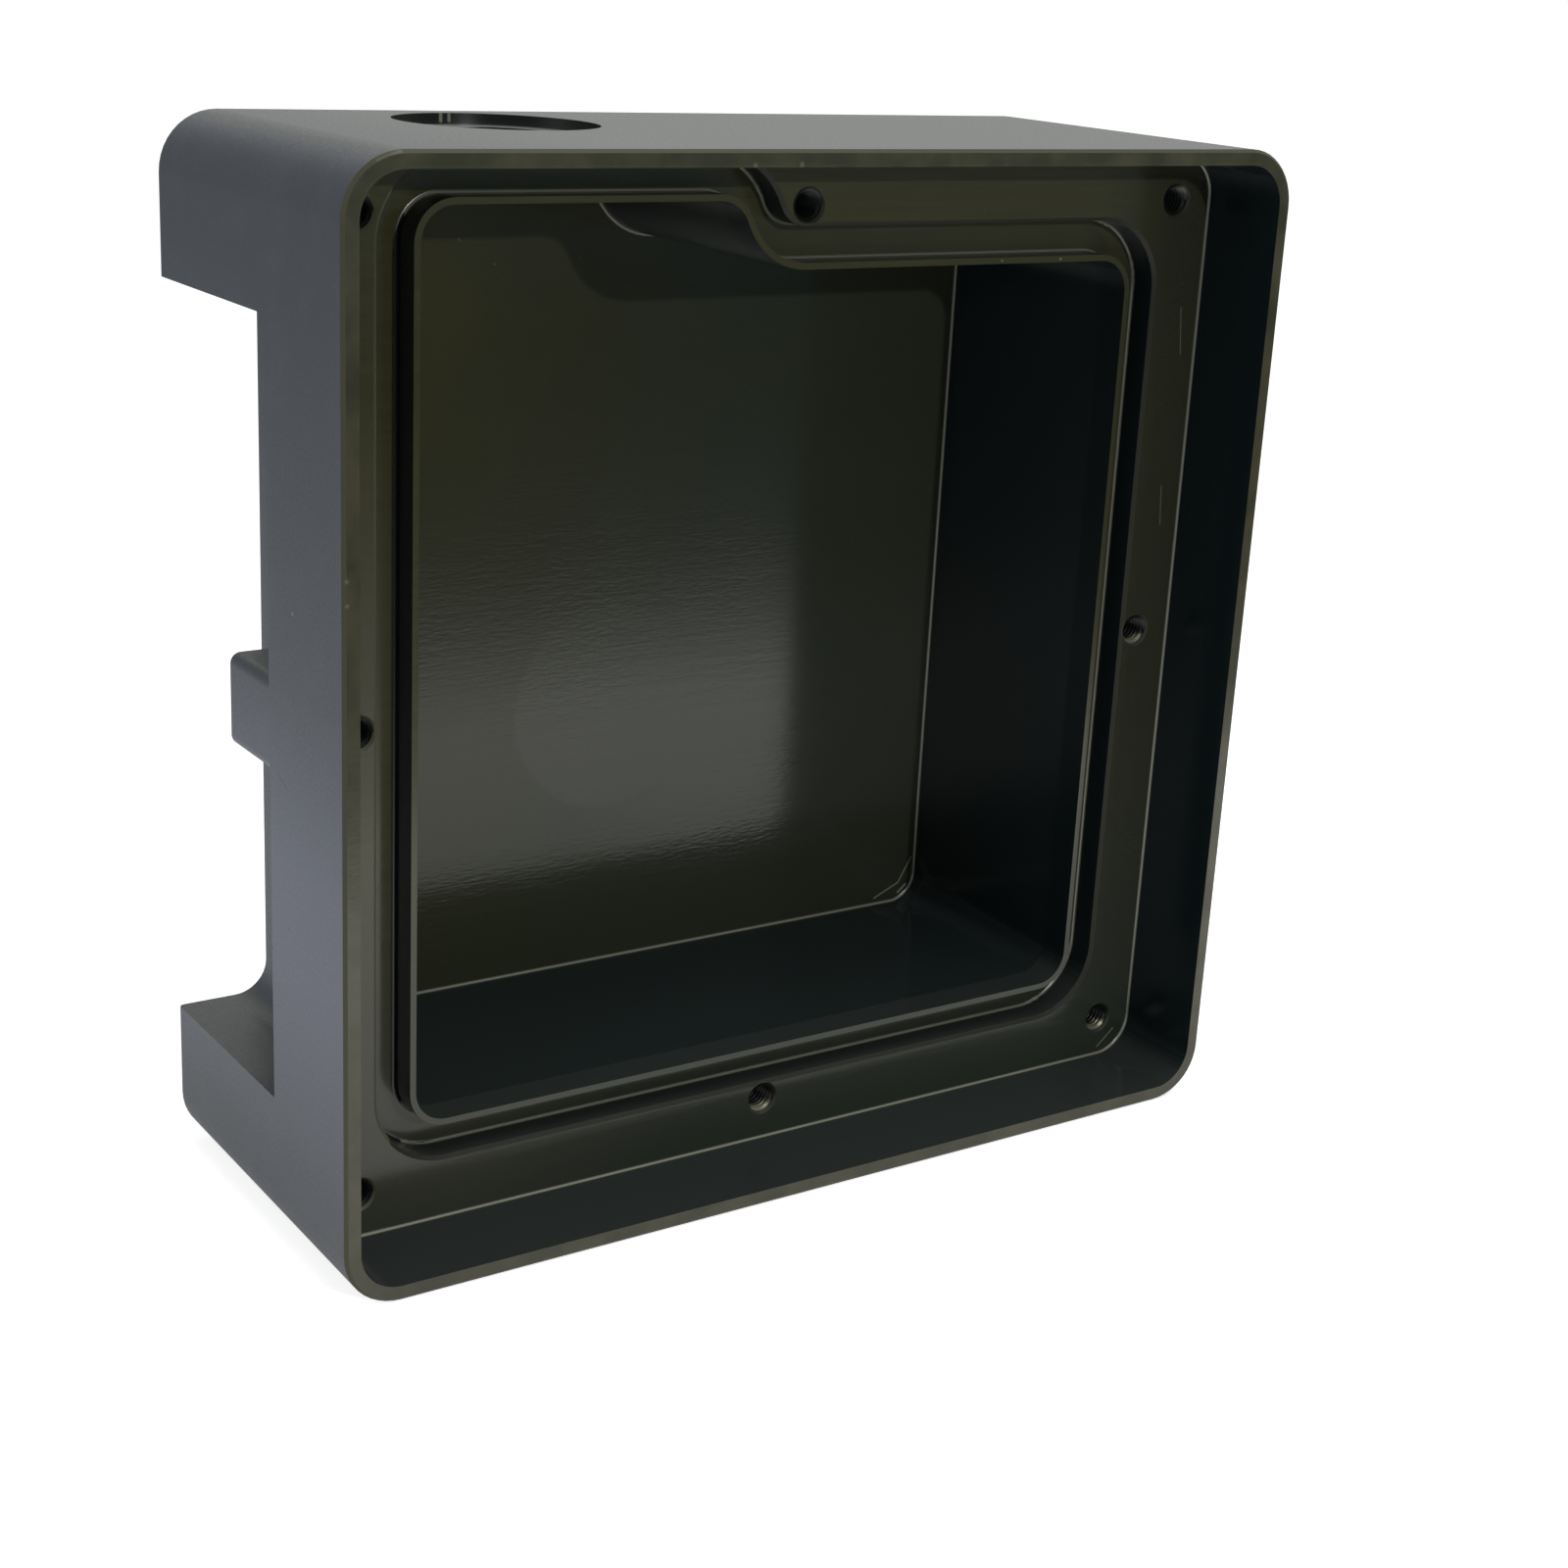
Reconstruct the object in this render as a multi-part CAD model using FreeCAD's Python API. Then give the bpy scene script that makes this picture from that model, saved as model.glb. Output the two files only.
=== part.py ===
import FreeCAD, Part
import math
import os

# Machined enclosure body: one block of aluminium, open at the front (-Y), standing on its bottom face.
# Frame: origin at the middle of the bottom face, +X right, +Y to the rear, +Z up. Millimetres.

# Outer block
width = 100.0
height = 100.0
depth = 39.0
outer_corner_radius = 5.5
edge_break = 0.3

# Rim round the cover recess; the recess floor is the ledge that the cover is screwed to
rim_thickness = 1.5
recess_depth = 10.0
floor_fillet = 0.3

# Seal groove between the ledge and the thin lip round the inner bay
lip_thickness = 0.6
groove_width = 3.25
groove_depth = 3.2
ledge_chamfer = 0.35

# Inner bay: its side, bottom and right-hand top walls stand this far in from the outside
bay_wall = 11.55
bay_corner_radius = 3.2
floor_thickness = 1.5

# Jog in the bay's top wall, which rises on the left until the groove meets the rim
jog_upper_radius = 3.2
jog_lower_radius = 6.9

# Tapped cover holes: thread outline, countersunk mouth, depth and inset from the outside
tap_radius = 1.5
tap_mouth_radius = 1.75
tap_depth = 8.5
tap_inset = 5.8
drill_tip_angle = 118.0

# Connector opening in the top wall: a round hole with two flats inside a shallow round seat
connector_x = 27.1
connector_y = 26.8
connector_radius = 6.5
connector_across_flats = 12.0
connector_seat_radius = 9.4
connector_seat_depth = 1.0

# Rear pockets on both sides, between full-depth feet and a short lug behind the middle hole
front_frame_depth = 15.4
pocket_floor_wall = 2.45
pocket_corner_radius = 3.3
foot_height = 14.6
lug_height = 8.6
lug_length = 8.7
lug_edge_radius = 1.0

# Sizes that follow from the ones above
mid_x = width / 2.0
mid_z = height / 2.0
floor_y = depth - floor_thickness
groove_reach = lip_thickness + groove_width
bay_top_wall_left = rim_thickness + groove_reach
pocket_width = bay_wall - pocket_floor_wall

# Every cutter starts this far outside the face it enters
past = rim_thickness


def edges_at(shape, y):
    """Edges of a shape that lie in the plane at one y."""
    found = []
    for edge in shape.Edges:
        if all(abs(vertex.Point.y - y) < 1e-6 for vertex in edge.Vertexes):
            found.append(edge)
    return found


def rounded_block(x0, x1, y0, y1, z0, z1, radius):
    """A box whose four edges along Y are rounded."""
    box = Part.makeBox(x1 - x0, y1 - y0, z1 - z0, FreeCAD.Vector(x0, y0, z0))
    along_y = []
    for edge in box.Edges:
        if abs(edge.Vertexes[0].Point.y - edge.Vertexes[1].Point.y) > 1e-6:
            along_y.append(edge)
    return box.makeFillet(radius, along_y)


def bay_outline(gap, y):
    """Outline of the inner bay, moved outwards by gap: a rounded square with the top-left jog."""
    left = bay_wall - gap
    right = width - left
    bottom = bay_wall - gap
    top_right = height - bay_wall + gap
    top_left = height - bay_top_wall_left + gap
    corner = bay_corner_radius + gap
    upper = jog_upper_radius + gap
    lower = jog_lower_radius - gap

    # The jog's two arcs keep their centres, so that all the outlines stay parallel.
    # The lower one runs round the hole in the middle of the top ledge.
    upper_z = top_left - upper
    lower_x = mid_x
    lower_z = top_right + lower
    rise = lower_z - upper_z
    run = math.sqrt((upper + lower) ** 2 - rise ** 2)
    upper_x = lower_x - run
    slope = math.atan2(rise, run)

    def on_arc(centre_x, centre_z, radius, angle):
        return FreeCAD.Vector(
            centre_x + radius * math.cos(angle), y, centre_z + radius * math.sin(angle))

    def arc(centre_x, centre_z, radius, start, end):
        angles = (start, (start + end) / 2.0, end)
        points = [on_arc(centre_x, centre_z, radius, angle) for angle in angles]
        return Part.Arc(*points).toShape()

    quarter = math.pi / 2.0
    arcs = [
        arc(left + corner, bottom + corner, corner, -quarter, -2.0 * quarter),
        arc(left + corner, top_left - corner, corner, 2.0 * quarter, quarter),
        arc(upper_x, upper_z, upper, quarter, slope),
        arc(lower_x, lower_z, lower, slope - 2.0 * quarter, -quarter),
        arc(right - corner, top_right - corner, corner, quarter, 0.0),
        arc(right - corner, bottom + corner, corner, 0.0, -quarter),
    ]
    edges = []
    for i, piece in enumerate(arcs):
        following = arcs[(i + 1) % len(arcs)]
        start = piece.lastVertex(True).Point
        end = following.firstVertex(True).Point
        edges.append(piece)
        if start.distanceToPoint(end) > 1e-6:
            edges.append(Part.LineSegment(start, end).toShape())
    return Part.Wire(edges)


def bay_prism(gap, y0, y1):
    """The bay's outline, moved outwards by gap, as a solid from y0 to y1."""
    return Part.Face(bay_outline(gap, y0)).extrude(FreeCAD.Vector(0.0, y1 - y0, 0.0))


def cover_recess(end):
    """The space inside the rim, from in front of the part to one depth."""
    return rounded_block(
        rim_thickness, width - rim_thickness,
        -past, end,
        rim_thickness, height - rim_thickness,
        outer_corner_radius - rim_thickness)


def seal_groove():
    """Groove round the lip, with round floor edges and a chamfer along the ledge."""
    bottom = recess_depth + groove_depth
    ring = bay_prism(groove_reach, recess_depth, bottom)
    ring = ring.cut(bay_prism(lip_thickness, recess_depth - past, bottom + past))
    ring = ring.makeFillet(floor_fillet, edges_at(ring, bottom))

    # The chamfer stays inside the rim where the groove runs along it
    chamfer_end = recess_depth + ledge_chamfer
    wide = bay_outline(groove_reach + ledge_chamfer, recess_depth)
    narrow = bay_outline(groove_reach, chamfer_end)
    bevel = Part.makeLoft([wide, narrow], True, True)
    bevel = bevel.common(cover_recess(chamfer_end + past))
    bevel = bevel.cut(bay_prism(lip_thickness, recess_depth - past, chamfer_end + past))
    return ring.fuse(bevel)


def inner_bay():
    bay = bay_prism(0.0, recess_depth - past, floor_y)
    return bay.makeFillet(floor_fillet, edges_at(bay, floor_y))


def tapped_hole(x, z):
    """Blind hole from the ledge to the rear, with a countersunk mouth and a drill point."""
    to_rear = FreeCAD.Vector(0.0, 1.0, 0.0)
    end = recess_depth + tap_depth
    sink = tap_mouth_radius - tap_radius
    tip = tap_radius / math.tan(math.radians(drill_tip_angle / 2.0))
    start = FreeCAD.Vector(x, recess_depth - past, z)
    bore = Part.makeCylinder(tap_radius, tap_depth + past, start, to_rear)
    mouth = FreeCAD.Vector(x, recess_depth, z)
    countersink = Part.makeCone(tap_mouth_radius, tap_radius, sink, mouth, to_rear)
    point = Part.makeCone(tap_radius, 0.0, tip, FreeCAD.Vector(x, end, z), to_rear)
    return bore.fuse([countersink, point])


def connector_cut():
    """Hole with two flats through the bay's top wall, and the round seat outside."""
    up = FreeCAD.Vector(0.0, 0.0, 1.0)
    low = height - bay_top_wall_left - past
    tall = bay_top_wall_left + 2.0 * past
    half_flats = connector_across_flats / 2.0
    drilled = Part.makeCylinder(
        connector_radius, tall, FreeCAD.Vector(connector_x, connector_y, low), up)
    between_flats = Part.makeBox(
        2.0 * connector_radius, connector_across_flats, tall,
        FreeCAD.Vector(connector_x - connector_radius, connector_y - half_flats, low))
    seat = Part.makeCylinder(
        connector_seat_radius, connector_seat_depth + past,
        FreeCAD.Vector(connector_x, connector_y, height - connector_seat_depth), up)
    return drilled.common(between_flats).fuse(seat)


def lug():
    """What the left pockets leave standing: a lug with round outer edges and round inner corners."""
    low = mid_z - lug_height / 2.0
    corner = pocket_corner_radius
    block = Part.makeBox(
        pocket_width + past, lug_length, lug_height,
        FreeCAD.Vector(0.0, front_frame_depth, low))
    outer_edges = []
    for edge in block.Edges:
        a, b = edge.Vertexes[0].Point, edge.Vertexes[1].Point
        if abs(a.x) < 1e-6 and abs(b.x) < 1e-6 and abs(a.z - b.z) < 1e-6:
            outer_edges.append(edge)
    block = block.makeFillet(lug_edge_radius, outer_edges)

    # Round corners where the lug meets the pocket floor
    flare = Part.makeBox(
        corner + past, lug_length, lug_height + 2.0 * corner,
        FreeCAD.Vector(pocket_width - corner, front_frame_depth, low - corner))
    for z in (low - corner, low + lug_height + corner):
        start = FreeCAD.Vector(pocket_width - corner, front_frame_depth - past, z)
        flare = flare.cut(Part.makeCylinder(
            corner, lug_length + 2.0 * past, start, FreeCAD.Vector(0.0, 1.0, 0.0)))
    return block.fuse(flare)


def side_pocket():
    """Cutter for the left side: open to the side and the rear, round the lug."""
    outside = 2.0 * pocket_corner_radius
    whole = rounded_block(
        -outside, pocket_width,
        front_frame_depth, depth + past,
        foot_height, height - foot_height,
        pocket_corner_radius)
    return whole.cut(lug())


def mirrored(shape):
    return shape.mirror(FreeCAD.Vector(mid_x, 0.0, 0.0), FreeCAD.Vector(1.0, 0.0, 0.0))


# Block with its edges broken all round the front and the rear
body = rounded_block(0.0, width, 0.0, depth, 0.0, height, outer_corner_radius)
body = body.makeChamfer(edge_break, edges_at(body, 0.0) + edges_at(body, depth))

# Cover recess, seal groove and inner bay, milled from the front
recess = cover_recess(recess_depth)
recess = recess.makeFillet(floor_fillet, edges_at(recess, recess_depth))
body = body.cut(recess).cut(seal_groove()).cut(inner_bay())

# Side pockets, milled from the rear
pocket = side_pocket()
body = body.cut(pocket).cut(mirrored(pocket))

# Eight tapped holes in the ledge: its corners and the middle of each side
for x in (tap_inset, mid_x, width - tap_inset):
    for z in (tap_inset, mid_z, height - tap_inset):
        if (x, z) != (mid_x, mid_z):
            body = body.cut(tapped_hole(x, z))

body = body.cut(connector_cut())
body = body.removeSplitter()

# From the block's corner to the part's own frame
body.translate(FreeCAD.Vector(-mid_x, -depth / 2.0, 0.0))

os.makedirs("parts", exist_ok=True)
body.exportStep("parts/enclosure_body.step")
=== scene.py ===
import bpy
import math
from types import SimpleNamespace
from mathutils import Euler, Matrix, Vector


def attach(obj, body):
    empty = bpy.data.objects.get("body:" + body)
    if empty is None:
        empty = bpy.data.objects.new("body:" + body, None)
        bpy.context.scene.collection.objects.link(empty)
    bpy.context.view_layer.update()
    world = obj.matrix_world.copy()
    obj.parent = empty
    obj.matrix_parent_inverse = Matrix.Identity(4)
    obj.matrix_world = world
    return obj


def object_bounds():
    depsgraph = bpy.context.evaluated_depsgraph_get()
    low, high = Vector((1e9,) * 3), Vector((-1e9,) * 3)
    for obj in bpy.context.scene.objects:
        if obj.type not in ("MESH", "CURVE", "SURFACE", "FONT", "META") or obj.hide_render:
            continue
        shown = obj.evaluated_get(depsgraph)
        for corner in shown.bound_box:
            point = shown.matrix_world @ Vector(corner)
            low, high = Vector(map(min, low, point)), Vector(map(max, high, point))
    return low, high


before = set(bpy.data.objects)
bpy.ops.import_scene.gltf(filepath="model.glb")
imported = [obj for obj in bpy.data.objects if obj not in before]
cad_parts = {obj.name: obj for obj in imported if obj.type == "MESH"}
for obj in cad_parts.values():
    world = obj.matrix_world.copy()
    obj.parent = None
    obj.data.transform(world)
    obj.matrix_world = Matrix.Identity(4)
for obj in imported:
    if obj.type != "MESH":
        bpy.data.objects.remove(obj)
cad_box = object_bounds()
MM = 0.001

# The part in its own frame, in millimetres: X to the right, Y to the rear, Z up
LEFT, FRONT, BOTTOM = [value / MM for value in cad_box[0]]
RIGHT, REAR, TOP = [value / MM for value in cad_box[1]]
MIDDLE = (BOTTOM + TOP) / 2.0

# Depths from the front and the rear, as in the CAD
LEDGE = FRONT + 10.0
GROOVE_FLOOR = LEDGE + 3.2
CHAMFER_END = LEDGE + 0.35
BAY_FLOOR = REAR - 1.5
POCKET_FRONT = FRONT + 15.4

# Distances from the outside of the part, as in the CAD
CORNER_RADIUS = 5.5
RIM_THICKNESS = 1.5
HOLE_INSET = 5.8
BAY_WALL = 11.55
BAY_TOP_WALL = 5.35
FOOT_HEIGHT = 14.6
HOLE_REACH = RIGHT - HOLE_INSET

# Tapped holes
TAP_RADIUS = 1.5
TAP_MOUTH_RADIUS = 1.75
THREAD_PITCH = 0.5

# The connector opening in the top
CONNECTOR_X, CONNECTOR_Y = -22.9, 7.3
SEAT_RADIUS = 9.4
SEAT_FLOOR = TOP - 1.0

# A region reaches this far past the faces that it holds
MARGIN = 0.15

# Colours, linear
PALETTE = SimpleNamespace(
    outside=((0.046, 0.055, 0.064), (0.058, 0.067, 0.077)),
    outside_blotch=(0.080, 0.090, 0.096),
    # painted reflection on the lower left side
    painted_side_reflection=(0.105, 0.116, 0.150),
    # top face: painted shade at the left end, painted light in the middle
    top=((0.048, 0.053, 0.051), (0.092, 0.100, 0.086)),
    # painted shade on the foot's top
    painted_foot_corner_shade=(0.012, 0.014, 0.016),
    ledge=((0.038, 0.037, 0.015), (0.056, 0.054, 0.023)),
    # painted shade at the right end of the ledge
    painted_ledge_right_shade=(0.028, 0.029, 0.018),
    # painted shade low on the ledge
    painted_ledge_low_shade=((0.028, 0.035, 0.026), (0.041, 0.044, 0.033)),
    # painted light on the left of the ledge
    painted_ledge_left_light=(0.078, 0.077, 0.050),
    floor=((0.025, 0.031, 0.020), (0.031, 0.034, 0.014)),
    floor_olive=(0.044, 0.041, 0.016),
    floor_cloud=(0.031, 0.035, 0.022),
    rim=((0.040, 0.040, 0.022), (0.066, 0.062, 0.036)),
    # inner walls: painted shade, and painted light on those that face upwards
    recess_wall_shading=((0.009, 0.016, 0.019), (0.034, 0.041, 0.038)),
    bay_wall_shading=((0.012, 0.019, 0.021), (0.019, 0.027, 0.028)),
    # painted highlights on the rounded edges inside
    rounded=(0.060, 0.060, 0.042),
    glint=(0.230, 0.230, 0.180),
    chamfer=(0.022, 0.022, 0.014),
    chamfer_mouth=(0.030, 0.031, 0.022),
    painted_chamfer_left_light=(0.085, 0.083, 0.055),
    painted_groove_left_shade=(0.010, 0.011, 0.010),
    outer_edge=(0.054, 0.054, 0.030),
    painted_seat_shade=(0.010, 0.012, 0.011),
    speck=(0.22, 0.21, 0.13),
    dark_mark=(0.016, 0.017, 0.015),
    bright_mark_and_glint=(0.34, 0.33, 0.26),
    # thread shades: dark, and a painted light where the lamp falls
    thread_flank=((0.014, 0.018, 0.015), (0.26, 0.24, 0.17)),
    thread_crest=((0.10, 0.10, 0.08), (0.90, 0.87, 0.68)),
)


# Node helpers

class Graph:
    """Short ways to add shader nodes to one material or world."""

    def __init__(self, tree):
        self.tree = tree
        tree.nodes.clear()

    def node(self, kind, inputs=None, **settings):
        made = self.tree.nodes.new(kind)
        for name, value in settings.items():
            setattr(made, name, value)
        for name, value in (inputs or {}).items():
            self.feed(made.inputs[name], value)
        return made

    def feed(self, socket, value):
        """Link a socket, or set a value. A colour may be given without its alpha."""
        if isinstance(value, bpy.types.NodeSocket):
            self.tree.links.new(value, socket)
        elif socket.type == "RGBA" and len(value) == 3:
            socket.default_value = (*value, 1.0)
        else:
            socket.default_value = value

    def math(self, operation, a, b=0.0, clamp=False):
        made = self.node("ShaderNodeMath", operation=operation, use_clamp=clamp)
        self.feed(made.inputs[0], a)
        self.feed(made.inputs[1], b)
        return made.outputs[0]

    def vector(self, operation, a, b=(0.0, 0.0, 0.0)):
        made = self.node("ShaderNodeVectorMath", operation=operation)
        self.feed(made.inputs[0], a)
        self.feed(made.inputs[1], b)
        return made.outputs["Value" if operation in ("LENGTH", "DISTANCE", "DOT_PRODUCT") else "Vector"]

    def millimetres(self):
        """The place on the piece, in millimetres."""
        coordinates = self.node("ShaderNodeTexCoord")
        return self.vector("MULTIPLY", coordinates.outputs["Object"], (1.0 / MM, 1.0 / MM, 1.0 / MM))

    def parts(self, vector):
        return self.node("ShaderNodeSeparateXYZ", {"Vector": vector}).outputs

    def inverse(self, mask):
        return self.math("SUBTRACT", 1.0, mask)

    def above(self, value, limit, soft):
        """0 below the limit and 1 above it, with a soft edge."""
        return self.between(value, limit - soft, limit + soft, 0.0, 1.0)

    def between(self, value, low, high, out_low=0.0, out_high=1.0):
        made = self.node("ShaderNodeMapRange", {
            "Value": value, "From Min": low, "From Max": high, "To Min": out_low, "To Max": out_high})
        return made.outputs["Result"]

    def mix(self, factor, a, b):
        made = self.node("ShaderNodeMix", data_type="RGBA")
        self.feed(made.inputs["Factor"], factor)
        self.feed(made.inputs["A"], a)
        self.feed(made.inputs["B"], b)
        return made.outputs["Result"]

    def blend(self, factor, a, b):
        made = self.node("ShaderNodeMix", data_type="FLOAT")
        self.feed(made.inputs["Factor"], factor)
        self.feed(made.inputs["A"], a)
        self.feed(made.inputs["B"], b)
        return made.outputs["Result"]

    def noise(self, where, scale, detail, rough, stretch=None):
        if stretch:
            where = self.vector("MULTIPLY", where, stretch)
        made = self.node("ShaderNodeTexNoise", {
            "Vector": where, "Scale": scale, "Detail": detail, "Roughness": rough})
        return made.outputs["Fac"]

    def gap(self, where, start, end=None):
        """Distance from a point, or from the line between two points."""
        offset = self.vector("SUBTRACT", where, start)
        if end is None:
            return self.vector("LENGTH", offset)
        run = Vector(end) - Vector(start)
        along = self.vector("DOT_PRODUCT", offset, tuple(run / run.length_squared))
        nearest = self.node("ShaderNodeVectorMath", operation="SCALE")
        self.feed(nearest.inputs[0], tuple(run))
        self.feed(nearest.inputs["Scale"], self.math("ADD", along, 0.0, clamp=True))
        return self.vector("DISTANCE", offset, nearest.outputs["Vector"])

    def marks(self, where, lines):
        """1 on the marks of a list of (width, point, ...) in millimetres, 0 away from them."""
        nearest = 10.0
        for width, *points in lines:
            for start, end in zip(points, points[1:] or [None]):
                share = self.math("DIVIDE", self.gap(where, start, end), width)
                nearest = self.math("MINIMUM", nearest, share)
        return self.between(nearest, 0.4, 1.0, 1.0, 0.0)

    def all_of(self, *parts):
        result = parts[0]
        for part in parts[1:]:
            result = self.math("MULTIPLY", result, part)
        return result


def new_material(name):
    material = bpy.data.materials.new(name)
    material.use_nodes = True
    return material, Graph(material.node_tree)


# Marks of use and machining, and painted glints, in millimetres: (width, point, ...). One point makes a
# dot.

BRIGHT_MARKS_AND_GLINTS = [
    # Bay floor: tool arc and a painted glint in the lower right corner
    (0.12, (38.0, BAY_FLOOR, 16.6), (36.3, BAY_FLOOR, 13.7), (33.0, BAY_FLOOR, 12.3)),
    (0.18, (36.4, BAY_FLOOR, 12.5), (37.4, BAY_FLOOR, 13.3)),
    # Ledge: arc by the lower right hole, and two nicks in the lip
    (0.10, (46.6, LEDGE, 4.1), (44.5, LEDGE, 2.3)),
    (0.14, (22.65, LEDGE, 88.75)),
    (0.18, (29.85, LEDGE, 88.75)),
    # Outside: painted glints in the connector's seat and a speck on the left
    (0.22, (-22.93, 16.69, 99.3), (-22.93, 16.69, 99.85)),
    (0.26, (-23.8, 16.66, 99.3), (-23.8, 16.66, 99.85)),
    (0.22, (LEFT, -9.35, 61.25)),
]
FAINT_MARKS = [
    # Rim: worn corner and nicks in the front
    (0.22, (-46.9, -19.3, 99.1), (-45.0, -19.3, 99.8)),
    (0.28, (-12.5, FRONT, 98.7)),
    (0.30, (-7.8, FRONT, 98.75)),
    (0.26, (-49.65, FRONT, 66.3)),
    (0.26, (-49.62, FRONT, 64.3)),
    # Bay floor: two specks. Ledge: scuffs on the right
    (0.16, (-21.1, BAY_FLOOR, 88.25)),
    (0.14, (-17.3, BAY_FLOOR, 85.85)),
    (0.10, (46.2, LEDGE, 83.5), (46.7, LEDGE, 78.8)),
    (0.10, (45.9, LEDGE, 65.2), (46.2, LEDGE, 61.2)),
]
DARK_MARKS = [
    # Bay floor: arc left by the cutter
    (0.14, (-8.4, BAY_FLOOR, 48.7), (-6.4, BAY_FLOOR, 48.5), (-4.6, BAY_FLOOR, 47.8)),
    # Outside: short scratches on the left side, the top edge and the corner
    (0.26, (LEFT, -8.05, 32.45)),
    (0.26, (LEFT, -4.15, 29.3)),
    (0.12, (LEFT, -5.7, 46.1), (LEFT, -8.2, 45.2)),
    (0.16, (-15.4, -9.7, TOP), (-14.2, -8.8, TOP)),
    (0.22, (-47.9, -4.6, 98.8), (-47.2, -5.4, 99.3)),
]


# Enclosure material: blasted outside, smooth machined recess, upright inner walls with painted shade,
# painted highlights on the rounded edges

def enclosure_regions(g, where):
    """Masks that are 1 in one region of the part and 0 elsewhere."""
    x, y, z = g.parts(where)
    geometry = g.node("ShaderNodeNewGeometry")
    facing = g.parts(geometry.outputs["True Normal"])
    forward = g.math("MULTIPLY", facing["Y"], -1.0)
    across = g.math("ABSOLUTE", x)
    from_middle = g.math("ABSOLUTE", g.math("SUBTRACT", z, MIDDLE))

    # Inside the rim's rounded outline, or inside the bay
    past_x = g.math("MAXIMUM", g.math("SUBTRACT", across, RIGHT - CORNER_RADIUS), 0.0)
    past_z = g.math("MAXIMUM", g.math("SUBTRACT", from_middle, MIDDLE - CORNER_RADIUS), 0.0)
    corner = g.math("ADD", g.math("MULTIPLY", past_x, past_x), g.math("MULTIPLY", past_z, past_z))
    in_recess = g.all_of(
        g.math("LESS_THAN", corner, (CORNER_RADIUS - RIM_THICKNESS + MARGIN) ** 2),
        g.math("LESS_THAN", y, GROOVE_FLOOR + MARGIN))
    in_bay = g.all_of(
        g.math("LESS_THAN", across, RIGHT - BAY_WALL + MARGIN),
        g.math("GREATER_THAN", z, BOTTOM + BAY_WALL - MARGIN),
        g.math("LESS_THAN", z, TOP - BAY_TOP_WALL + MARGIN),
        g.math("LESS_THAN", y, BAY_FLOOR + MARGIN))
    inside = g.math("MAXIMUM", in_recess, in_bay)
    rim_front = g.math("LESS_THAN", y, FRONT + 0.35)
    deep = g.math("MULTIPLY", in_bay, g.math("GREATER_THAN", y, BAY_FLOOR - 8.0))

    # By the way that a face looks
    flat = g.above(forward, 0.985, 0.01)
    upright = g.inverse(g.above(g.math("ABSOLUTE", forward), 0.12, 0.05))
    upward = g.above(facing["Z"], 0.9, 0.05)
    rounded = g.math("MULTIPLY", inside, g.inverse(g.math("MAXIMUM", flat, upright)))
    glint = g.all_of(rounded, g.above(forward, 0.3, 0.08), g.inverse(g.above(forward, 0.88, 0.05)))
    chamfer = g.all_of(
        rounded, g.math("GREATER_THAN", y, LEDGE - 0.02), g.math("LESS_THAN", y, CHAMFER_END + 0.05))

    # The mouths of the tapped holes
    beside_x = g.math("MINIMUM", across, g.math("ABSOLUTE", g.math("SUBTRACT", across, HOLE_REACH)))
    beside_z = g.math(
        "MINIMUM", from_middle, g.math("ABSOLUTE", g.math("SUBTRACT", from_middle, HOLE_REACH)))
    beside = g.math("ADD", g.math("MULTIPLY", beside_x, beside_x), g.math("MULTIPLY", beside_z, beside_z))

    # The right of the bay floor is a little glossier than the left, with a round end to the area
    round_end = g.between(g.gap(where, (-3.1, BAY_FLOOR, 40.0)), 10.8, 11.4, 1.0, 0.0)
    glossier = g.math("MULTIPLY", deep, g.math("MAXIMUM", round_end, g.between(x, -7.0, 5.0)))

    # The connector's seat and opening in the top, but not the face of the seat; these take painted shade
    in_plan = g.vector("MULTIPLY", where, (1.0, 1.0, 0.0))
    from_seat = g.vector("DISTANCE", in_plan, (CONNECTOR_X, CONNECTOR_Y, 0.0))
    in_seat = g.all_of(
        g.math("LESS_THAN", from_seat, SEAT_RADIUS + 0.03),
        g.math("GREATER_THAN", z, SEAT_FLOOR - 4.1), g.math("LESS_THAN", z, TOP - 0.03),
        g.inverse(upward))

    return SimpleNamespace(
        x=x, y=y, z=z,
        in_recess=in_recess, inside=inside, rim_front=rim_front, deep=deep,
        machined=g.math("MULTIPLY", flat, g.math("MAXIMUM", inside, rim_front)),
        outer_edge=g.all_of(rim_front, g.inverse(flat), g.inverse(inside)),
        wall=g.math("MULTIPLY", upright, inside),
        upward=upward, upward_wall=g.above(facing["Z"], 0.5, 0.2),
        rounded=rounded, glint=glint, chamfer=chamfer,
        mouth=g.math("LESS_THAN", beside, (TAP_MOUTH_RADIUS + 0.04) ** 2),
        glossier=glossier, in_seat=in_seat)


def enclosure_texture(g, where):
    """The noises that colour, gloss and relief share."""
    cloud = g.noise(where, 0.06, 2.0, 0.55)
    ripple = g.noise(where, 2.1, 1.0, 0.5, (0.35, 1.0, 1.5))
    return SimpleNamespace(
        cloud=cloud,
        blotches=g.noise(where, 0.22, 2.0, 0.6),
        blasted=g.noise(where, 3.2, 1.0, 0.6),
        streaks=g.noise(where, 1.2, 2.0, 0.6, (0.06, 1.0, 1.6)),
        ripple=g.math("MULTIPLY", ripple, g.between(cloud, 0.38, 0.62, 0.3, 1.0)))


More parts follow.
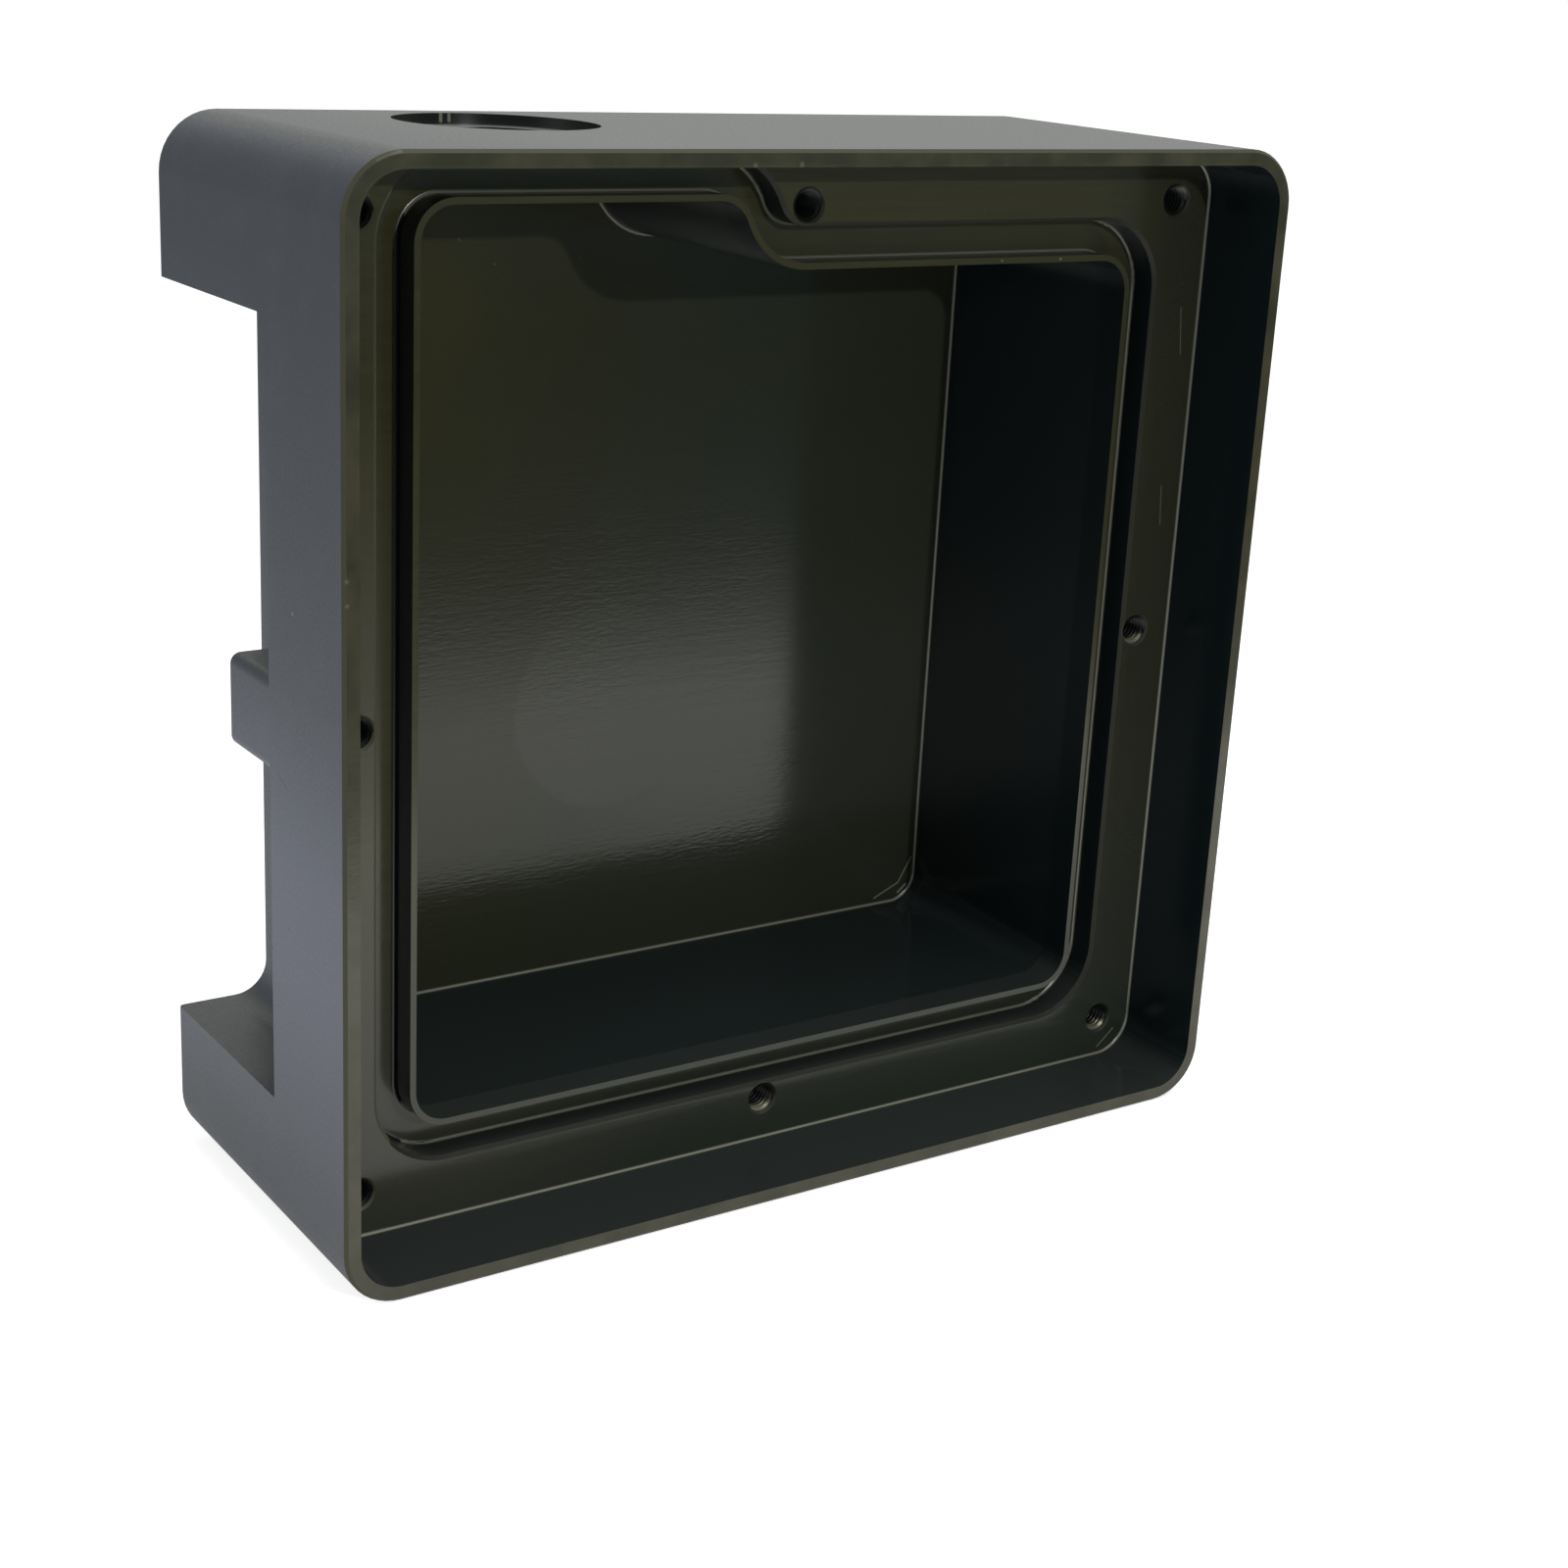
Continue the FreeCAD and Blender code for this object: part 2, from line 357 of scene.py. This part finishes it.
def outside_tint(g, on, texture):
    tint = g.mix(texture.cloud, *PALETTE.outside)
    blotches = g.math("MULTIPLY", g.above(texture.blotches, 0.6, 0.12), 0.25)
    tint = g.mix(blotches, tint, PALETTE.outside_blotch)
    # Painted reflection: the lower left side is painted paler, for the white table that it reflects at a
    # grazing angle
    painted_side_reflection = g.all_of(
        g.math("LESS_THAN", on.x, LEFT + 1.0),
        g.between(on.z, 54.0, 38.0), g.between(on.z, 9.0, 28.0, 0.1, 1.0))
    tint = g.mix(painted_side_reflection, tint, PALETTE.painted_side_reflection)
    # Painted light and shade: the top face is painted lighter in the middle and darker at its left end,
    # where the light falls unevenly
    tint = g.mix(on.upward, tint, g.mix(g.between(on.x, -47.0, -25.0), *PALETTE.top))
    # Painted shade: the foot's top is painted dark beside the pocket's front wall
    painted_foot_corner_shade = g.all_of(
        on.upward, g.math("LESS_THAN", on.z, FOOT_HEIGHT + 0.4),
        g.between(on.y, POCKET_FRONT + 6.1, POCKET_FRONT + 0.6))
    return g.mix(painted_foot_corner_shade, tint, PALETTE.painted_foot_corner_shade)


def ledge_tint(g, on, texture):
    tint = g.mix(texture.streaks, *PALETTE.ledge)
    # Painted shade: the right end of the ledge is painted darker, a painted reflection of the dark right
    # rim wall
    tint = g.mix(g.between(on.x, 34.0, 44.0), tint, PALETTE.painted_ledge_right_shade)
    # Painted shade: toward the bottom the ledge is painted greener and duller, most on the right, standing
    # in for less lamp light there
    low = g.mix(g.between(on.x, -10.0, -35.0), *PALETTE.painted_ledge_low_shade)
    tint = g.mix(g.between(on.z, 40.0, 2.0), tint, low)
    # Painted light: a lighter patch on the left of the ledge
    left = g.all_of(g.between(on.x, -38.0, -42.0), g.between(on.z, 80.0, 58.0), g.between(on.z, 34.0, 50.0))
    return g.mix(left, tint, PALETTE.painted_ledge_left_light)


def bay_floor_tint(g, on, texture):
    tint = g.mix(g.between(on.x, 5.0, -30.0), *PALETTE.floor)
    olive = g.math("MULTIPLY", g.between(on.x, 10.0, -30.0), g.between(on.z, 30.0, 80.0))
    tint = g.mix(olive, tint, PALETTE.floor_olive)
    return g.mix(g.between(texture.cloud, 0.36, 0.62, 0.0, 0.4), tint, PALETTE.floor_cloud)


def painted_wall_shading(g, on):
    # Painted shade: the inner walls are painted near black; painted light: those that face upwards are
    # painted lighter, as if lit from above
    other = g.mix(on.in_recess, PALETTE.bay_wall_shading[0], PALETTE.recess_wall_shading[0])
    upward = g.mix(on.in_recess, PALETTE.bay_wall_shading[1], PALETTE.recess_wall_shading[1])
    return g.mix(on.upward_wall, other, upward)


def chamfer_tint(g, on):
    """Painted light: along the left side the chamfer is painted as light as the ledge."""
    tint = g.mix(on.mouth, PALETTE.chamfer, PALETTE.chamfer_mouth)
    return g.mix(g.math("LESS_THAN", on.x, -41.0), tint, PALETTE.painted_chamfer_left_light)


def enclosure_colour(g, where, on, texture):
    rim_tint = g.mix(g.above(texture.blotches, 0.5, 0.15), *PALETTE.rim)
    flat_tint = g.mix(on.deep, ledge_tint(g, on, texture), bay_floor_tint(g, on, texture))
    colour = g.mix(on.machined, outside_tint(g, on, texture), g.mix(on.rim_front, flat_tint, rim_tint))
    colour = g.mix(on.wall, colour, painted_wall_shading(g, on))
    # Painted highlights: the rounded edges inside are painted lighter, and the forward-facing part of them
    # brighter still
    colour = g.mix(on.rounded, colour, PALETTE.rounded)
    colour = g.mix(on.glint, colour, PALETTE.glint)
    colour = g.mix(on.chamfer, colour, chamfer_tint(g, on))

    # Painted shade: the round floor edge of the groove is painted dark along the left side
    painted_groove_left_shade = g.all_of(
        on.rounded, on.in_recess,
        g.math("LESS_THAN", on.x, -38.5), g.math("GREATER_THAN", on.y, GROOVE_FLOOR - 0.6))
    colour = g.mix(painted_groove_left_shade, colour, PALETTE.painted_groove_left_shade)
    colour = g.mix(on.outer_edge, colour, PALETTE.outer_edge)
    # Painted shade: the seat's wall and the opening are painted near black
    colour = g.mix(on.in_seat, colour, PALETTE.painted_seat_shade)

    specks = g.all_of(g.above(texture.blasted, 0.78, 0.01), on.machined, 0.12)
    colour = g.mix(specks, colour, PALETTE.speck)
    colour = g.mix(g.math("MULTIPLY", g.marks(where, DARK_MARKS), 0.4), colour, PALETTE.dark_mark)
    # Bright marks are wear; the glints among them are painted highlights
    bright = g.math("MULTIPLY", g.marks(where, BRIGHT_MARKS_AND_GLINTS), 0.55)
    faint = g.math("MULTIPLY", g.marks(where, FAINT_MARKS), 0.2)
    return g.mix(g.math("MAXIMUM", bright, faint), colour, PALETTE.bright_mark_and_glint)


def enclosure_roughness(g, on, texture):
    ledge = g.between(texture.streaks, 0.3, 0.7, 0.13, 0.19)
    bay_floor = g.between(texture.streaks, 0.3, 0.7, 0.135, 0.17)
    rough = g.between(texture.blasted, 0.3, 0.7, 0.46, 0.56)
    rough = g.blend(on.machined, rough, g.blend(on.deep, ledge, bay_floor))
    for region, value in ((on.wall, 0.2), (on.rounded, 0.28), (on.chamfer, 0.5),
                          (on.outer_edge, 0.5), (on.in_seat, 0.25)):
        rough = g.blend(region, rough, value)
    return rough


def enclosure_gloss(g, on):
    """Weaker reflections on the chamfer, the recess walls and the less glossy part of the bay floor."""
    gloss = g.blend(g.math("SUBTRACT", on.deep, on.glossier), 0.5, 0.43)
    gloss = g.blend(g.math("MAXIMUM", on.chamfer, on.outer_edge), gloss, 0.25)
    return g.blend(g.all_of(on.wall, on.in_recess, g.inverse(on.upward)), gloss, 0.3)


def enclosure_relief(g, on, texture):
    """Height in millimetres: a fine grain outside, milling streaks inside, ripples on the bay floor."""
    grain = g.all_of(texture.blasted, g.inverse(on.inside), 0.008)
    milled = g.math("MULTIPLY", texture.streaks, 0.006)
    milled = g.math("ADD", milled, g.all_of(texture.ripple, on.deep, 0.012))
    return g.math("ADD", grain, g.math("MULTIPLY", milled, on.machined))


def enclosure_material():
    material, g = new_material("coated_aluminium")
    where = g.millimetres()
    on = enclosure_regions(g, where)
    texture = enclosure_texture(g, where)
    relief = enclosure_relief(g, on, texture)
    bump = g.node("ShaderNodeBump", {"Strength": 1.0, "Distance": MM, "Height": relief})
    shader = g.node("ShaderNodeBsdfPrincipled", {
        "Metallic": 0.15, "IOR": 1.62,
        "Base Color": enclosure_colour(g, where, on, texture),
        "Roughness": enclosure_roughness(g, on, texture),
        "Specular IOR Level": enclosure_gloss(g, on),
        "Normal": bump.outputs["Normal"]})
    g.node("ShaderNodeOutputMaterial", {"Surface": shader.outputs[0]})
    return material


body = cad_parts["enclosure_body"]
body.data.materials.clear()
body.data.materials.append(enclosure_material())


# Threads of the eight cover holes: one ridge winding along each bore

def thread_mesh(name, centres):
    """The ridges' flanks take the first material and their crests the second."""
    outline, crest = (TAP_RADIUS + 0.005) * MM, (TAP_RADIUS - 0.26) * MM
    pitch = THREAD_PITCH * MM
    start, end = (LEDGE + 0.2) * MM, (LEDGE + 8.2) * MM
    root_half, crest_half = 0.46 * pitch, 0.09 * pitch
    steps = 36
    turns = round((end - start) / pitch)
    vertices, faces = [], []
    for cx, cz in centres:
        first = len(vertices)
        for i in range(turns * steps + 1):
            angle = 2.0 * math.pi * i / steps
            middle = start + pitch * i / steps
            for radius, along in ((outline, -root_half), (crest, -crest_half),
                                  (crest, crest_half), (outline, root_half)):
                vertices.append((cx + radius * math.cos(angle), middle + along,
                                 cz + radius * math.sin(angle)))
        for i in range(turns * steps):
            for j in range(3):
                a = first + 4 * i + j
                faces.append((a, a + 1, a + 5, a + 4))
    mesh = bpy.data.meshes.new(name)
    mesh.from_pydata(vertices, [], faces)
    mesh.polygons.foreach_set("material_index", [i % 3 % 2 for i in range(len(faces))])
    mesh.update()
    piece = bpy.data.objects.new(name, mesh)
    bpy.context.scene.collection.objects.link(piece)
    return piece


def thread_material(name, shades):
    dark, light = shades
    material, g = new_material(name)
    where = g.millimetres()
    x, y, z = g.parts(where)

    # Painted light: the start of the thread is painted light on its lower side, in the lower and right-hand
    # holes, where the lamp falls
    from_middle = g.math("SUBTRACT", MIDDLE, z)
    outwards = g.math("SUBTRACT", g.math("ABSOLUTE", from_middle), HOLE_REACH)
    below = g.math("MULTIPLY", outwards, g.math("SIGN", from_middle))
    in_middle_row = g.math("LESS_THAN", g.math("ABSOLUTE", from_middle), 10.0)
    below = g.blend(in_middle_row, below, from_middle)
    painted_lit = g.all_of(
        g.between(below, 0.5, 1.1), g.between(y, LEDGE + 1.7, LEDGE + 1.0),
        g.between(x, -20.0, -10.0), g.between(z, 80.0, 70.0))

    # A dull light spot at the start of the upper right thread
    spot = g.between(g.gap(where, (44.6, LEDGE + 0.3, 94.9), (45.3, LEDGE + 0.5, 94.9)), 0.4, 0.9, 0.3, 0.0)
    colour = g.mix(g.math("MAXIMUM", painted_lit, spot), dark, light)
    shader = g.node("ShaderNodeBsdfPrincipled", {"Metallic": 0.6, "Roughness": 0.32, "Base Color": colour})
    g.node("ShaderNodeOutputMaterial", {"Surface": shader.outputs[0]})
    return material


hole_places = []
for hx in (-HOLE_REACH, 0.0, HOLE_REACH):
    for hz in (MIDDLE - HOLE_REACH, MIDDLE, MIDDLE + HOLE_REACH):
        if (hx, hz) != (0.0, MIDDLE):
            hole_places.append((hx * MM, hz * MM))
threads = thread_mesh("cover_hole_threads", hole_places)
threads.data.materials.append(thread_material("thread_flank", PALETTE.thread_flank))
threads.data.materials.append(thread_material("thread_crest", PALETTE.thread_crest))
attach(threads, "root")


# Stage: a pale floor, soft lamps and a white background

def shows_background(g):
    """1 for camera, glossy and transmission rays."""
    path = g.node("ShaderNodeLightPath")
    seen = g.math("MAXIMUM", path.outputs["Is Camera Ray"], path.outputs["Is Glossy Ray"])
    return g.math("MAXIMUM", seen, path.outputs["Is Transmission Ray"])


def stage_piece(name, corners, material):
    """A flat piece of the stage. Its glow is only seen and lights nothing as a lamp."""
    material.cycles.emission_sampling = "NONE"
    mesh = bpy.data.meshes.new(name)
    mesh.from_pydata(corners, [], [(0, 1, 2, 3)])
    mesh.materials.append(material)
    piece = bpy.data.objects.new(name, mesh)
    bpy.context.scene.collection.objects.link(piece)
    return piece


def floor_material():
    glow_level = 0.72
    material, g = new_material("pale_floor")
    paper = g.node("ShaderNodeBsdfDiffuse", {"Color": (0.82, 0.82, 0.82)})
    coordinates = g.node("ShaderNodeTexCoord")
    from_middle = g.vector("ABSOLUTE", coordinates.outputs["Object"])
    beside = g.vector("SUBTRACT", from_middle, (RIGHT * MM, REAR * MM, 0.0))
    away = g.vector("LENGTH", g.vector("MAXIMUM", beside))

    # Close to the part the floor's glow is dimmer in reflections: a painted contact shadow. Far from the
    # lamps it is a little brighter to the camera, so that it meets the white background.
    reflected = g.math("POWER", g.between(away, 0.0, 0.12, 0.5, 1.0), 1.5)
    seen = g.between(away, 0.25, 1.5, 1.0, 1.2)
    path = g.node("ShaderNodeLightPath")
    share = g.blend(path.outputs["Is Glossy Ray"], seen, reflected)
    strength = g.all_of(shows_background(g), share, glow_level)
    glow = g.node("ShaderNodeEmission", {"Color": (1.0, 1.0, 1.0), "Strength": strength})
    both = g.node("ShaderNodeAddShader")
    g.feed(both.inputs[0], paper.outputs[0])
    g.feed(both.inputs[1], glow.outputs[0])
    g.node("ShaderNodeOutputMaterial", {"Surface": both.outputs[0]})
    return material


def floor_piece():
    half = 6.0
    corners = [(-half, -half, 0.0), (half, -half, 0.0), (half, half, 0.0), (-half, half, 0.0)]
    piece = stage_piece("floor", corners, floor_material())
    piece.location.z = -0.05 * MM


def sky():
    light, background_level = 0.26, 1.0
    world = bpy.data.worlds.new("studio")
    bpy.context.scene.world = world
    world.use_nodes = True
    g = Graph(world.node_tree)
    background = g.node("ShaderNodeBackground", {
        "Color": (1.0, 1.0, 1.0), "Strength": g.blend(shows_background(g), light, background_level)})
    g.node("ShaderNodeOutputWorld", {"Surface": background.outputs[0]})


def lamp(name, location, width, height, power):
    """An area lamp that points at the middle of the part."""
    data = bpy.data.lights.new(name, "AREA")
    data.shape = "RECTANGLE"
    data.size, data.size_y = width, height
    data.energy = power
    piece = bpy.data.objects.new(name, data)
    piece.location = location
    direction = Vector((0.0, 0.0, MIDDLE * MM)) - Vector(location)
    piece.rotation_euler = direction.to_track_quat("-Z", "Y").to_euler()
    bpy.context.scene.collection.objects.link(piece)


def card_material(name, shades):
    """A glow that goes through (share of the part's height, colour) from the floor up."""
    material, g = new_material(name)
    coordinates = g.node("ShaderNodeTexCoord")
    height = g.between(g.parts(coordinates.outputs["Object"])["Z"], BOTTOM * MM, TOP * MM)
    ramp = g.node("ShaderNodeValToRGB", {"Fac": height})
    points = ramp.color_ramp.elements
    for i, (share, shade) in enumerate(shades):
        point = points[i] if i < 2 else points.new(share)
        point.position = share
        point.color = (*shade, 1.0)
    glow = g.node("ShaderNodeEmission", {"Color": ramp.outputs["Color"]})
    g.node("ShaderNodeOutputMaterial", {"Surface": glow.outputs[0]})
    return material


def upright_card(name, start, end, height, shades):
    """A grey studio card beside the part. Only reflections show it."""
    corners = [(*start, 0.0), (*end, 0.0), (*end, height), (*start, height)]
    piece = stage_piece(name, corners, card_material(name, shades))
    piece.visible_camera = False
    piece.visible_diffuse = False
    piece.visible_shadow = False


floor_piece()
sky()
upright_card("front_card", (-0.5, -0.11), (1.2, -0.11), 0.9, [
    (0.0, (0.92, 0.92, 0.92)), (0.08, (0.58, 0.58, 0.58)),
    (0.14, (0.31, 0.32, 0.32)), (0.22, (0.14, 0.155, 0.155)),
    (0.4, (0.065, 0.08, 0.08)), (0.6, (0.035, 0.05, 0.05)),
    (0.8, (0.10, 0.14, 0.15)), (1.0, (0.12, 0.17, 0.18))])
upright_card("left_card", (-0.097, -0.11), (-0.097, 1.2), 0.5, [
    (0.0, (0.98, 1.04, 1.15)), (0.13, (0.82, 0.87, 0.97)),
    (0.26, (0.55, 0.59, 0.65)), (0.5, (0.34, 0.36, 0.39)),
    (1.0, (0.22, 0.24, 0.26))])
lamp("top_softbox", (0.1, -0.2, 0.74), 0.7, 0.5, 2.8)
lamp("front_lamp", (0.063, -0.70, 0.253), 0.012, 0.012, 1.5)
lamp("left_softbox", (-0.7, 0.1, 0.35), 0.4, 0.5, 1.6)


# Camera at the photograph's viewing angle
camera_data = bpy.data.cameras.new("camera")
camera_data.sensor_width = 36.0
camera_data.lens = 58.4
camera = bpy.data.objects.new("camera", camera_data)
camera.location = (-0.1322, -0.2023, 0.11656)
camera.rotation_euler = Euler([math.radians(a) for a in (71.681, -2.901, -33.603)])
camera_data.clip_start = 0.01
bpy.context.scene.collection.objects.link(camera)
bpy.context.scene.camera = camera

bpy.context.scene.view_settings.view_transform = "Standard"
